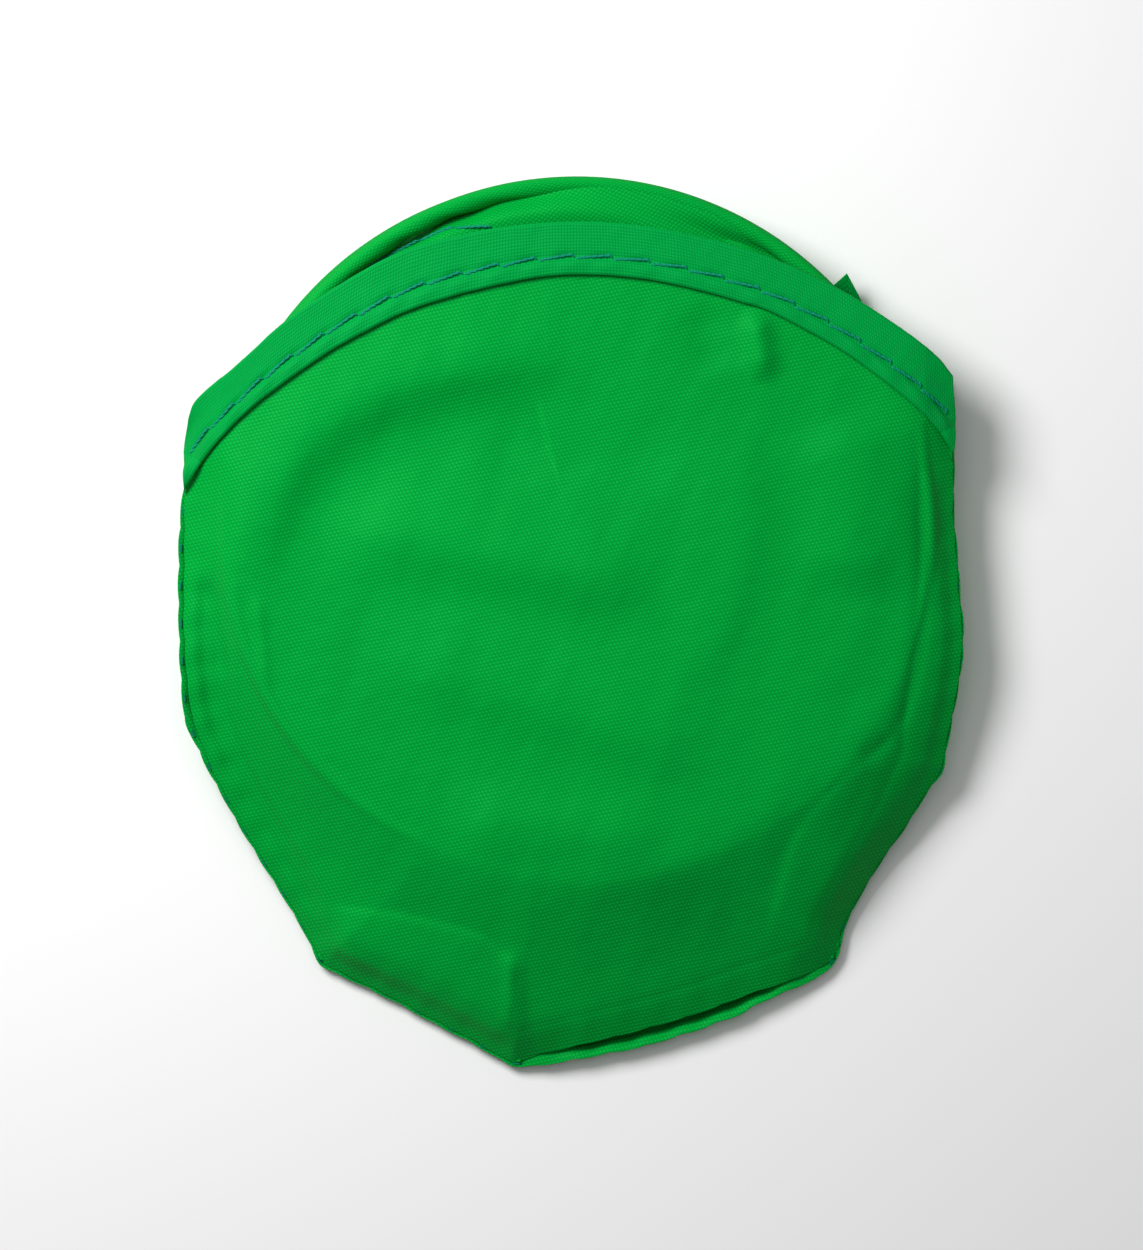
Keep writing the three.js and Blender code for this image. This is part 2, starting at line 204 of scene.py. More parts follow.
def nearest_on(points, line):
    """For each point: distance to the polyline, share of the way along it, and side (+ on its left)."""
    best = np.full(len(points), 1e9)
    share = np.zeros(len(points))
    side = np.zeros(len(points))
    lengths = np.linalg.norm(np.diff(line, axis=0), axis=1)
    along = np.concatenate([[0], np.cumsum(lengths)])
    for i, length in enumerate(lengths):
        edge = (line[i + 1] - line[i]) / max(length, 1e-9)
        offset = points - line[i]
        t = np.clip(offset @ edge, 0, length)
        gap = offset - t[:, None] * edge
        distance = np.hypot(gap[:, 0], gap[:, 1])
        closer = distance < best
        best = np.where(closer, distance, best)
        share = np.where(closer, (along[i] + t) / along[-1], share)
        side = np.where(closer, np.sign(edge[0] * offset[:, 1] - edge[1] * offset[:, 0]), side)
    return best, share, side


def ripple(points, seed, scale, octaves=3, waves=5):
    """Smooth, repeatable noise between about -1 and 1, made of sine waves in many directions."""
    random = np.random.default_rng(seed)
    total = np.zeros(len(points))
    for octave in range(octaves):
        for _ in range(waves):
            angle, phase = random.uniform(0, 2 * math.pi, 2)
            wave = 2 * math.pi / (scale / 2**octave) * random.uniform(0.7, 1.3)
            total += np.sin(wave * (points @ [math.cos(angle), math.sin(angle)]) + phase) / 2**octave
    return total / 4


def near_path(points, path, reach):
    """Smooth path, and which of the points could lie within reach of it."""
    line = smooth_curve(path, 24)
    low, high = line.min(axis=0) - reach, line.max(axis=0) + reach
    return line, np.all((points > low) & (points < high), axis=1)


def faded_ends(share, fade):
    """1 along a path, falling to 0 at its two ends over the share that fade gives."""
    return smoothstep(0, fade, share) * smoothstep(0, fade, 1 - share)


def crease(points, path, width, height, fade=0.25):
    """A ridge (or, with a negative height, a furrow) along a smooth path, fading towards its ends."""
    line, near = near_path(points, path, 3 * width)
    distance, share, _ = nearest_on(points[near], line)
    total = np.zeros(len(points))
    total[near] = height * np.exp(-((distance / width) ** 2)) * faded_ends(share, fade)
    return total


def step(points, path, width, height, reach, fade=0.25):
    """A soft step: the left side of the path rises by height, and dies away again over reach."""
    line, near = near_path(points, path, 2.6 * reach)
    distance, share, side = nearest_on(points[near], line)
    rise = 0.5 + 0.5 * np.tanh(side * distance / width)
    total = np.zeros(len(points))
    total[near] = height * rise * np.exp(-((distance / reach) ** 2)) * faded_ends(share, fade)
    return total


def hinge(points, path, slope, reach, fade=0.12):
    """A crisp bend: left of the path the cloth turns by slope, as far as reach."""
    line, near = near_path(points, path, 4 * reach)
    distance, share, side = nearest_on(points[near], line)
    outside = np.maximum(side * distance, 0)
    total = np.zeros(len(points))
    total[near] = slope * outside * np.exp(-((outside / (1.6 * reach)) ** 2)) * faded_ends(share, fade)
    return total


def around_pack(radius, heading, level):
    """Points at a radius and heading from the middle of the folded bag."""
    return np.column_stack([
        PACK_CENTRE[0] + radius * np.cos(heading),
        PACK_CENTRE[1] + radius * np.sin(heading),
        level,
    ])


def pack_radius(points):
    """Distance from the middle of the folded bag, seen from above."""
    return np.hypot(points[:, 0] - PACK_CENTRE[0], points[:, 1] - PACK_CENTRE[1])


# ---------- meshes ----------


def mesh_object(name, points, faces, uv, material):
    """A mesh from points in millimetres, faces, and cloth coordinates in millimetres for each point."""
    mesh = bpy.data.meshes.new(name)
    mesh.from_pydata((np.asarray(points) * MM).tolist(), [], faces)
    layer = mesh.uv_layers.new(name="cloth")
    corners = np.zeros(len(mesh.loops), np.int32)
    mesh.loops.foreach_get("vertex_index", corners)
    layer.data.foreach_set("uv", np.asarray(uv, np.float32)[corners].ravel())
    mesh.polygons.foreach_set("use_smooth", [True] * len(mesh.polygons))
    mesh.materials.append(material)
    mesh.update()
    piece = bpy.data.objects.new(name, mesh)
    bpy.context.scene.collection.objects.link(piece)
    return piece


def grid_faces(rows, columns, flip=False):
    """Quads of a grid of points stored row by row, whose last column joins the first one."""
    faces = []
    for row in range(rows - 1):
        for column in range(columns):
            after = (column + 1) % columns
            quad = [row * columns + column, row * columns + after,
                    (row + 1) * columns + after, (row + 1) * columns + column]
            faces.append(quad[::-1] if flip else quad)
    return faces


def disc_faces(rings, columns):
    """Triangles round a middle point, and the quads of the rings of points outside it."""
    faces = [[0, 1 + column, 1 + (column + 1) % columns] for column in range(columns)]
    quads = grid_faces(rings, columns, flip=True)
    return faces + [[1 + i for i in quad] for quad in quads]


def thicken(piece):
    """Gives a sheet the thickness of its cloth, behind its visible face."""
    solid = piece.modifiers.new("cloth_thickness", "SOLIDIFY")
    solid.thickness = CLOTH * MM
    solid.offset = -1
    solid.use_even_offset = False


# ---------- materials ----------


class Nodes:
    """A short way to build a material's node tree."""

    def __init__(self, name):
        self.material = bpy.data.materials.new(name)
        self.material.use_nodes = True
        self.tree = self.material.node_tree
        self.shader = self.tree.nodes["Principled BSDF"]

    def add(self, kind, **settings):
        node = self.tree.nodes.new(kind)
        for key, value in settings.items():
            if key in node.inputs:
                node.inputs[key].default_value = value
            else:
                setattr(node, key, value)
        return node

    def link(self, output, target):
        self.tree.links.new(output, target)

    def math(self, operation, *values, clamp=False):
        node = self.tree.nodes.new("ShaderNodeMath")
        node.operation = operation
        node.use_clamp = clamp
        for socket, value in zip(node.inputs, values):
            if isinstance(value, (int, float)):
                socket.default_value = value
            else:
                self.link(value, socket)
        return node.outputs[0]

    def mix_colour(self, share, a, b):
        node = self.tree.nodes.new("ShaderNodeMix")
        node.data_type = "RGBA"
        # These are the sockets for a share and two colours, out of those for every data type.
        for socket, value in zip((node.inputs[0], node.inputs[6], node.inputs[7]), (share, a, b)):
            if isinstance(value, (int, float)):
                socket.default_value = value
            elif isinstance(value, tuple):
                socket.default_value = (*value, 1.0)
            else:
                self.link(value, socket)
        return node.outputs[2]


def cloth_material(name, colour, light, dark, weave, grain, roughness=0.4):
    """Woven nylon. Cloth coordinates are millimetres, so the threads have their real size."""
    nodes = Nodes(name)
    uv = nodes.add("ShaderNodeUVMap", uv_map="cloth")
    turn = nodes.add("ShaderNodeMapping")
    turn.inputs["Rotation"].default_value = (0, 0, -grain)
    nodes.link(uv.outputs["UV"], turn.inputs["Vector"])
    # Threads wander a little, as woven ones do.
    wander = nodes.add("ShaderNodeTexNoise", Scale=0.3, Detail=2.0)
    nodes.link(turn.outputs["Vector"], wander.inputs["Vector"])
    shift = nodes.add("ShaderNodeVectorMath", operation="SCALE", Scale=0.3)
    nodes.link(wander.outputs["Color"], shift.inputs[0])
    moved = nodes.add("ShaderNodeVectorMath", operation="ADD")
    nodes.link(turn.outputs["Vector"], moved.inputs[0])
    nodes.link(shift.outputs["Vector"], moved.inputs[1])
    split = nodes.add("ShaderNodeSeparateXYZ")
    nodes.link(moved.outputs["Vector"], split.inputs[0])
    warp = nodes.math("MULTIPLY", split.outputs["X"], math.pi / weave[0])
    weft = nodes.math("MULTIPLY", split.outputs["Y"], math.pi / weave[1])
    # Each thread passes over one and under the next, so the tops lie in rows like bricks.
    over = nodes.math("MULTIPLY", nodes.math("COSINE", warp), nodes.math("COSINE", weft))
    ribs = nodes.math("COSINE", nodes.math("MULTIPLY", warp, 2.0))
    crossing = nodes.math("MULTIPLY_ADD", ribs, 0.25, over)
    weave_height = nodes.math("MULTIPLY_ADD", crossing, 0.45, 0.5, clamp=True)
    # Colour: thread tops painted lighter as a painted highlight, the gaps between them painted darker as
    # painted shade in the weave's hollows, and broad soft variation.
    blotch = nodes.add("ShaderNodeTexNoise", Scale=0.05, Detail=3.0)
    nodes.link(uv.outputs["UV"], blotch.inputs["Vector"])
    worn = tuple(0.84 * channel for channel in colour)
    fleck = nodes.add("ShaderNodeTexNoise", Scale=2.2, Detail=2.0)
    nodes.link(uv.outputs["UV"], fleck.inputs["Vector"])
    base = nodes.mix_colour(blotch.outputs["Fac"], worn, colour)
    top = nodes.mix_colour(nodes.math("MULTIPLY", fleck.outputs["Fac"], 0.5), base, light)
    painted_weave_shading = nodes.mix_colour(weave_height, dark, top)
    nodes.link(nodes.mix_colour(0.7, base, painted_weave_shading), nodes.shader.inputs["Base Color"])
    # Roughness: thread tops are a little glossier than the gaps.
    rough = nodes.math("MULTIPLY_ADD", weave_height, -0.12, roughness + 0.06)
    nodes.link(rough, nodes.shader.inputs["Roughness"])
    bump = nodes.add("ShaderNodeBump", Strength=0.6, Distance=0.08 * MM)
    nodes.link(weave_height, bump.inputs["Height"])
    nodes.link(bump.outputs["Normal"], nodes.shader.inputs["Normal"])
    # Reflections are weak and tinted by the dyed threads.
    nodes.shader.inputs["IOR"].default_value = 1.25
    nodes.shader.inputs["Specular IOR Level"].default_value = 0.25
    nodes.shader.inputs["Specular Tint"].default_value = (0.15, 1.0, 0.45, 1.0)
    return nodes.material


def thread_material():
    """Teal thread, with the turns of its strands across it."""
    nodes = Nodes("teal_thread")
    uv = nodes.add("ShaderNodeUVMap", uv_map="cloth")
    strands = nodes.add("ShaderNodeTexWave", Scale=1.6, Distortion=0.4)
    nodes.link(uv.outputs["UV"], strands.inputs["Vector"])
    colour = nodes.mix_colour(strands.outputs["Fac"], (0.0005, 0.16, 0.09), (0.001, 0.33, 0.19))
    nodes.link(colour, nodes.shader.inputs["Base Color"])
    bump = nodes.add("ShaderNodeBump", Strength=0.5, Distance=0.04 * MM)
    nodes.link(strands.outputs["Fac"], bump.inputs["Height"])
    nodes.link(bump.outputs["Normal"], nodes.shader.inputs["Normal"])
    nodes.shader.inputs["Roughness"].default_value = 0.5
    nodes.shader.inputs["IOR"].default_value = 1.3
    nodes.shader.inputs["Specular IOR Level"].default_value = 0.3
    return nodes.material


def steel_material():
    """Spring steel with a fine uneven grain."""
    nodes = Nodes("spring_steel")
    place = nodes.add("ShaderNodeTexCoord")
    grain = nodes.add("ShaderNodeTexNoise", Scale=900.0, Detail=3.0)
    nodes.link(place.outputs["Object"], grain.inputs["Vector"])
    colour = nodes.mix_colour(grain.outputs["Fac"], (0.28, 0.29, 0.32), (0.5, 0.51, 0.53))
    nodes.link(colour, nodes.shader.inputs["Base Color"])
    nodes.shader.inputs["Metallic"].default_value = 1.0
    rough = nodes.math("MULTIPLY_ADD", grain.outputs["Fac"], 0.2, 0.25)
    nodes.link(rough, nodes.shader.inputs["Roughness"])
    return nodes.material


# Thread tops painted lighter and gaps painted darker: painted highlight and painted shade of the weave, not
# the dye.
LIT_THREAD_TOPS = (0.002, 0.50, 0.09)
SHADED_THREAD_GAPS = (0.0003, 0.16, 0.012)
PANEL_CLOTH = cloth_material(
    "panel_cloth", (0.001, 0.40, 0.045), LIT_THREAD_TOPS, SHADED_THREAD_GAPS, WEAVE, PANEL_GRAIN)
# The binding's lighter and darker colours are likewise painted highlight on its thread tops and painted
# shade in its gaps.
BINDING_CLOTH = cloth_material(
    "binding_cloth", (0.001, 0.37, 0.06), (0.002, 0.46, 0.1), (0.0003, 0.19, 0.02),
    BIAS_WEAVE, BIAS_GRAIN, roughness=0.45)
BAG_CLOTH = cloth_material(
    "bag_cloth", (0.001, 0.42, 0.045), LIT_THREAD_TOPS, SHADED_THREAD_GAPS, WEAVE, BAG_GRAIN)
THREAD = thread_material()
STEEL = steel_material()

# ---------- pouch: shape of its panels ----------


def ruffled(points, amount):
    """A seam line that puckers outwards by amount between its stitches."""
    line = rounded(points, SEAM_POINTS, 1.2)
    along = np.linspace(0, length_of(points), len(line))
    tangent = np.gradient(line, axis=0)
    tangent /= np.linalg.norm(tangent, axis=1)[:, None]
    outward = np.stack([tangent[:, 1], -tangent[:, 0]], axis=1)
    wave = np.abs(np.sin(math.pi * along / STITCH)) ** 0.7
    return line + outward * (amount * wave)[:, None]


FRONT_LINE = ruffled(FRONT_SEAM, 0.16)
BACK_LINE = ruffled(BACK_SEAM, 0.22)
LOW_EDGE = smooth_curve(BINDING_LOW, MOUTH_POINTS)
HIGH_EDGE = smooth_curve(BINDING_HIGH, MOUTH_POINTS)


def emptiness(points):
    """0 beside the folded bag, and 1 in the empty bottom of the pouch."""
    return smoothstep(8, 45, -points[:, 1])


def seam_height(points):
    """The seam stays near mid height beside the folded bag and drops where the pouch is empty."""
    lowest = 1.6
    return mix(MID_LEVEL + 1, lowest, smoothstep(0, 44, -points[:, 1]))


def gaping(points):
    """1 where the front panel's turned edge stands open above the back panel, at the lower right."""
    across, up = points[:, 0], points[:, 1]
    return smoothstep(-8, 2, across) * smoothstep(36, 26, across) * smoothstep(-40, -44, up)


def eased(value, radius):
    """0 well below nothing and value well above it, with the corner between eased over radius."""
    corner = 0.7 * radius * np.log1p(np.exp(-np.abs(value) / radius))
    return np.maximum(value, 0) + corner


def puckers(along_seam, from_seam, height, spread):
    """Small waves along a seam, one for each stitch, which die away inwards over spread."""
    ridge = 1.5
    wave = np.sin(2 * math.pi * along_seam / STITCH)
    return height * wave * np.exp(-(((from_seam - ridge) / spread) ** 2))


def wall_rise(distance, width, sharpness=7.0):
    """How far a side wall has climbed, 0 at the seam and 1 inside the crease at its top."""
    slope = np.log1p(np.exp(sharpness * (1 - distance / width))) / np.log1p(math.exp(sharpness))
    return 1 - np.minimum(slope, 1)


def front_height(points):
    """Height of the front panel's visible face."""
    across, up = points[:, 0], points[:, 1]
    from_seam, along, _ = nearest_on(points, FRONT_LINE[::4])
    # Towards the mouth the folded bag's edge runs straight on up, since the cloth spans it there.
    reach = np.where(up > PACK_CENTRE[1], np.abs(across - PACK_CENTRE[0]), pack_radius(points))
    # At the lower right the stiff turned seam holds the cloth up further out.
    held_up = np.exp(-(((up + 8) / 14) ** 2)) * smoothstep(20, 35, across)
    wall = mix(4.6, 4.0, emptiness(points)) + 2 * held_up
    edge = PACK_EDGE + 3 * held_up
    # Over the folded bag the cloth is level, and past its edge it sinks towards the seam.
    lowest = 5 + 3 * smoothstep(15, 40, across) * smoothstep(-48, -30, up)
    edge_level = mix(FRONT_TOP - 0.9, lowest, smoothstep(4, 14, from_seam + reach - edge))
    # That edge shows crisply only at the bottom.
    softness = mix(2.6, 0.8, np.exp(-(((across - 9) / 16) ** 2)))
    past_pack = eased(reach - edge, softness)
    sunk = past_pack / (past_pack + np.maximum(from_seam - wall, 0) + 0.1)
    level = mix(FRONT_TOP - 0.1, edge_level, 0.7 * sunk + 0.3 * np.sin(sunk * math.pi / 2))
    # The folded bag lies a little lower at the right.
    level -= 0.6 * smoothstep(5, 46, across)
    base = seam_height(points) + 1.2 * gaping(points)
    height = mix(base, level, wall_rise(from_seam, wall))
    height += front_creases(points) * smoothstep(2, 8, from_seam)
    height += seam_allowances(points) * smoothstep(1, 3, from_seam)
    height += puckers(along * length_of(FRONT_SEAM), from_seam, 0.08, 2.0)
    height += 0.06 * ripple(points, 3, 9) * smoothstep(3, 8, from_seam)
    # The higher of this and what clears the folded bag, with the change eased.
    clear = over_pack(points)
    return (height + clear + np.sqrt((height - clear) ** 2 + 0.05)) / 2


def over_pack(points):
    """The lowest level at which the front panel clears the folded bag."""
    heading = np.arctan2(points[:, 1] - PACK_CENTRE[1], points[:, 0] - PACK_CENTRE[0])
    reach = pack_radius(points)
    lowest = np.zeros(len(points))
    # Over the coils, whose sleeves are this wide and high with room for the cloth.
    half_width, half_height = 1.5, 2.1
    for turn in range(COILS):
        coil = coil_line(np.mod(heading + math.pi / 2, 2 * math.pi) + 2 * math.pi * turn)
        across = (reach - pack_radius(coil)) / half_width
        crest = coil[:, 2] + half_height * np.sqrt(np.maximum(1 - across**2, 0))
        lowest = np.maximum(lowest, np.where(np.abs(across) < 1, crest, 0))
    # Over the folded cloth, where it covers the coils.
    outer, high, _ = coil_reach(heading)
    down = np.clip((reach - outer + 1) / 1.6, 0, 1)
    covered_level = MID_LEVEL + (high + 0.5 - MID_LEVEL) * np.sqrt(1 - down**2)
    covered_level -= 4 * (1 - smoothstep(0, 0.4, covered(heading)))
    return np.maximum(lowest, np.where(down < 1, covered_level, 0))


def front_creases(points):
    """The folds that tension draws in the front panel."""
    # The edge of the folded bag lifts the cloth at the upper left, and it sags again inside.
    total = step(points, [(-42, -4), (-40.5, 9), (-36, 19), (-29, 26.5), (-18, 31), (-5, 33), (6, 33)],
                 3.0, 1.8, 10, fade=0.3)
    total += crease(points, [(-37, 8), (-31, 18), (-22, 24), (-8, 28), (10, 29)], 6, -0.55)
    # Soft folds across the middle.
    total += crease(points, [(-35, 11), (-22, 12), (-10, 9), (2, 6.5), (14, 6)], 5.5, 1.25)
    total += crease(points, [(-24, 4.5), (-13, 4), (-1, 2), (12, -1)], 3.8, -0.25)
    total += step(points, [(-30, -6), (-14, -11), (3, -16), (21, -22.5)], 3.6, 1.25, 11)
    total += crease(points, [(-18, -26), (-2, -27.5), (14, -29.5)], 4.5, 0.8)
    total += crease(points, [(-14, 22), (2, 24), (16, 20)], 5, -0.6)
    # A fold down the right half, and the rise beyond it.
    total += step(points, [(15, -13), (22, -1), (25.4, 12), (25, 30)], 2.8, 0.7, 8)
    total += crease(points, [(35, 29), (38, 17), (37, 3)], 6, 1.1)
    total += crease(points, [(33, -14), (41, -7), (43.5, 2), (43, 12)], 3.4, -0.3)
    # The pinch below the binding.
    total += crease(points, [(24.8, 43.5), (25.2, 38.5), (26, 32)], 1.9, 1.2, fade=0.35)
    total += crease(points, [(18, 44), (18.5, 39), (20, 33)], 3, -0.5, fade=0.35)
    # The empty corner at the bottom.
    total += crease(points, [(-8.2, -43), (-7.6, -50), (-6.8, -57)], 1.3, 0.6)
    return total


def seam_allowances(points):
    """The stiff turned seam allowance inside the pouch bends the cloth along its inner edge."""
    left = [(-33, -44), (-33.6, -36), (-38.8, -26.5), (-44.2, -16), (-45.3, -6), (-44.8, 3), (-46.3, 11)]
    bottom = [(-2, -49), (-8.9, -44.6), (-12.5, -41.9), (-20, -39.8), (-27, -38.6), (-33.5, -38.2)]
    right = [(46.6, 22), (48.2, 9), (47.4, -5), (44, -14.5), (37, -20.5), (30.6, -28), (28, -36), (26, -44)]
    total = hinge(points, left, -0.28, 4) + step(points, left, 0.4, 0.2, 4, fade=0.1)
    left_of_corner = smoothstep(-7.0, -8.8, points[:, 0])
    total += hinge(points, bottom, 0.24, 5) * left_of_corner
    total += step(points, bottom, 0.4, 0.2, 3, fade=0.1) * left_of_corner
    total += hinge(points, right, 0.1, 4) + step(points, right, 0.6, 0.25, 4, fade=0.1)
    # Where it is bunched at the left, the hoop's edge and a wrinkle show beside it.
    total += crease(points, [(-49.2, 7), (-48.2, 0), (-46.8, -8)], 1.1, -0.45)
    total += crease(points, [(-42.6, 5), (-41.8, -2), (-41.2, -11)], 1.0, 0.35)
    # A small notch where it turns at the lower right.
    total += crease(points, [(43.5, -15), (41.3, -16.7), (39, -18.5)], 1.3, -0.22)
    return total


def back_height(points):
    """Height of the back panel's outer face: level on the ground, and rising to the seam."""
    from_seam, along, _ = nearest_on(points, BACK_LINE[::4])
    wall = mix(3.6, 9.0, emptiness(points)) * (1 - 0.8 * gaping(points))
    rise = np.cos(np.clip(from_seam / wall, 0, 1) * math.pi / 2)
    base = seam_height(points) - 0.35 + 0.9 * gaping(points)
    # Near the mouth the panel lies higher, to leave room for the binding under it.
    to_mouth, _, _ = nearest_on(points, LOW_EDGE[::6])
    lift = (BINDING_THICKNESS + 0.7) * (1 - smoothstep(8, 22, to_mouth))
    settled = lift + 0.22 + 0.1 * ripple(points, 8, 14) * smoothstep(0, 1, lift)
    return mix(settled, base, rise) + puckers(along * length_of(BACK_SEAM), from_seam, 0.1, 1.8)


def turned_under(rim, level, share, depth):
    """Rings of points where a panel's edge rolls under by depth, and their cloth coordinates.

    share is 1 where the edge is turned under fully.
    """
    inward = (PANEL_MIDDLE - rim) / np.linalg.norm(PANEL_MIDDLE - rim, axis=1)[:, None]
    points, uv = [], []
    for angle in (0.5, 1.0, 1.5, 2.2):
        place = rim + inward * (share * depth * 0.35 * angle)[:, None]
        drop = share * depth * (1 - math.cos(angle)) * 0.6 * (1 + gaping(rim))
        points.append(np.column_stack([place, level - drop]))
        uv.append(rim - inward * angle)
    return points, uv


def panel(name, seam, mouth_edge, height, turned=0.0, rings=120):
    """A panel of cloth inside its seam line and its arched mouth edge.

    turned is how far the seam edge is turned under.
    """
    rim = np.concatenate([seam, mouth_edge[::-1][1:-1]])
    # The rings lie closer together towards the rim.
    shares = 1 - (1 - np.linspace(0, 1, rings)) ** 1.35
    flat = [PANEL_MIDDLE + (rim - PANEL_MIDDLE) * share for share in shares[1:]]
    flat = np.concatenate([[PANEL_MIDDLE]] + flat)
    points = [np.column_stack([flat, height(flat)])]
    uv = [flat]
    if turned:
        at_seam = np.where(np.arange(len(rim)) < len(seam), 1.0, 0.2)
        under, under_uv = turned_under(rim, points[0][-len(rim):, 2], at_seam, turned)
        points += under
        uv += under_uv
    points = np.concatenate(points)
    faces = disc_faces((len(points) - 1) // len(rim), len(rim))
    return mesh_object(name, points, faces, np.concatenate(uv), PANEL_CLOTH)


def offset_edge(low, high, distance):
    """The line that lies distance above the binding's lower edge."""
    return low + (high - low) * (distance / BINDING_WIDTH)


PANEL_EDGE = offset_edge(LOW_EDGE, HIGH_EDGE, PANEL_UNDER_BINDING)


def front_cloth():
    """The front panel and its lip, as the one sheet that they are."""
    piece = panel("front_cloth", FRONT_LINE, PANEL_EDGE, front_height, turned=1.2)
    thicken(piece)
    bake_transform(piece)
    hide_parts("pouch_front_panel", "front_mouth_lip")
    return piece


def back_cloth():
    """The back panel, whose visible face is below."""
    piece = panel("back_cloth", BACK_LINE, PANEL_EDGE, back_height)
    piece.data.flip_normals()
    thicken(piece)
    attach(piece, "pouch")
    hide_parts("pouch_back_panel")
    return piece


# ---------- bindings and their stitches ----------


def surface_normals(points, height):
    """Unit normals of a height field, pointing up."""
    nudge = 0.1
    dx = (height(points + [nudge, 0]) - height(points - [nudge, 0])) / (2 * nudge)
    dy = (height(points + [0, nudge]) - height(points - [0, nudge])) / (2 * nudge)
    normal = np.column_stack([-dx, -dy, np.ones(len(points))])
    return normal / np.linalg.norm(normal, axis=1)[:, None]


def binding_section(samples=40):
    """Outline of the folded strip: across from its lower edge, and height above the panel."""
    half = BINDING_THICKNESS / 2
    turn = np.linspace(math.pi / 2, 3 * math.pi / 2, 9)
    across = np.concatenate([
        half + half * np.cos(turn[::-1]),
        np.linspace(half, BINDING_WIDTH - half, samples)[1:-1],
        BINDING_WIDTH - half - half * np.cos(turn),
    ])
    above = np.concatenate([
        half + half * np.sin(turn[::-1]),
        np.full(samples - 2, BINDING_THICKNESS),
        half + half * np.sin(turn),
    ])
    return across, above


def mouth_points(along, across):
    """Places on the mouth: shares along it, and distances above the binding's lower edge."""
    columns = np.linspace(0, 1, len(LOW_EDGE))
    low = np.stack([np.interp(along, columns, LOW_EDGE[:, k]) for k in range(2)], axis=-1)
    high = np.stack([np.interp(along, columns, HIGH_EDGE[:, k]) for k in range(2)], axis=-1)
    return low + (high - low) * (across / BINDING_WIDTH)[..., None]


def dog_ear(along, across):
    """A pinched corner of the back binding stands out past the mouth near its right end."""
    peak = np.maximum(1 - np.abs(along - DOG_EAR_PLACE) / DOG_EAR_HALF_WIDTH, 0)
    return DOG_EAR_HEIGHT * peak * smoothstep(3.0, 6.9, across)


def no_dog_ear(along, across):
    """The front binding has no stray corner."""
    return np.zeros_like(along)


def binding(name, height, side, stray=no_dog_ear, rows=900):
    """A strip folded over the mouth edge of a panel, on the face that side points to.

    stray gives how far the strip is pulled out past its line.
    """
    section_across, section_above = binding_section()
    columns = len(section_across)
    along = np.repeat(np.linspace(0, 1, rows), columns)
    across = np.tile(section_across, rows)
    above = np.tile(section_above, rows)
    pulled = stray(along, across)
    flat = mouth_points(along, across + pulled)
    # The strip is pressed down along its stitches and swells a little below them.
    phase = 2 * math.pi * along * length_of(LOW_EDGE) / STITCH
    dent = (0.2 + 0.1 * np.cos(phase)) * np.exp(-(((across - TOPSTITCH_LINE) / 0.5) ** 2))
    swell = (0.15 + 0.08 * np.sin(phase + 0.6)) * np.exp(-(((across - TOPSTITCH_LINE / 2) / 0.8) ** 2))
    outer_face = above > BINDING_THICKNESS * 0.4
    lift = above + BINDING_GAP + (swell - dent) * outer_face
    points = np.column_stack([flat, height(flat)]) + side * surface_normals(flat, height) * lift[:, None]
    points[:, 2] += 1.3 * pulled * smoothstep(5.6, 7.0, across)
    faces = grid_faces(rows, columns, flip=side > 0)
    first_end = list(range(columns))
    last_end = [(rows - 1) * columns + i for i in first_end]
    faces += [first_end, last_end[::-1]] if side > 0 else [first_end[::-1], last_end]
    uv = np.column_stack([along * length_of(LOW_EDGE), across])
    return mesh_object(name, points, faces, uv, BINDING_CLOTH)


def stitches(name, centres, normals, radius=0.19, share=1.02, slant=0.6):
    """Machine stitches along a line: two-ply threads that dip into the cloth at their ends.

    share is how much of its pitch a stitch fills, and slant how far it leans across the line.
    """
    along = np.concatenate([[0], np.cumsum(np.linalg.norm(np.diff(centres, axis=0), axis=1))])
    sides, rings, plies, twists = 6, 19, 2, 3
    phase = np.linspace(0, 1, rings)
    corner = 2 * math.pi * np.arange(sides) / sides
    at_end = (phase == 0) | (phase == 1)
    thickness = np.where(at_end, 0.45, 0.75) * radius
    dip = -0.3 * (1 - smoothstep(0, 0.07, phase) * smoothstep(0, 0.07, 1 - phase))
    lean = slant * (phase - 0.5 - 0.8 * smoothstep(0.9, 1.0, phase))
    points, faces, uv = [], [], []
    for stitch in range(int(along[-1] // STITCH)):
        at = (stitch + 0.04 + phase * share) * STITCH
        line = np.stack([np.interp(at, along, centres[:, k]) for k in range(3)], axis=1)
        up = np.stack([np.interp(at, along, normals[:, k]) for k in range(3)], axis=1)
        forward = np.gradient(line, axis=0)
        forward /= np.linalg.norm(forward, axis=1)[:, None]
        sideways = np.cross(up, forward)
        line = line + up * dip[:, None] + sideways * lean[:, None]
        ring = (up[:, None] * np.sin(corner)[None, :, None]
                + sideways[:, None] * np.cos(corner)[None, :, None])
        for ply in range(plies):
            twist = 2 * math.pi * (ply / plies + phase * twists)
            core = line + (up * np.sin(twist)[:, None] + sideways * np.cos(twist)[:, None]) * radius * 0.5
            first = len(points) * rings * sides
            points.append((core[:, None] + ring * thickness[:, None, None]).reshape(-1, 3))
            uv.append(np.column_stack([np.repeat(at, sides), np.tile(corner * radius, rings)]))
            faces += [[first + i for i in face] for face in grid_faces(rings, sides)]
            last = first + (rings - 1) * sides
            faces += [[first + i for i in range(sides)][::-1], [last + i for i in range(sides)]]
    return mesh_object(name, np.concatenate(points), faces, np.concatenate(uv), THREAD)


def mouth_line(height, side, across, above, count=400, trim=0.012):
    """A line along the binding, with the normals under it."""
    along = np.linspace(trim, 1 - trim, count)
    flat = mouth_points(along, np.full(count, float(across)))
    normals = surface_normals(flat, height) * side
    return np.column_stack([flat, height(flat)]) + normals * above, normals


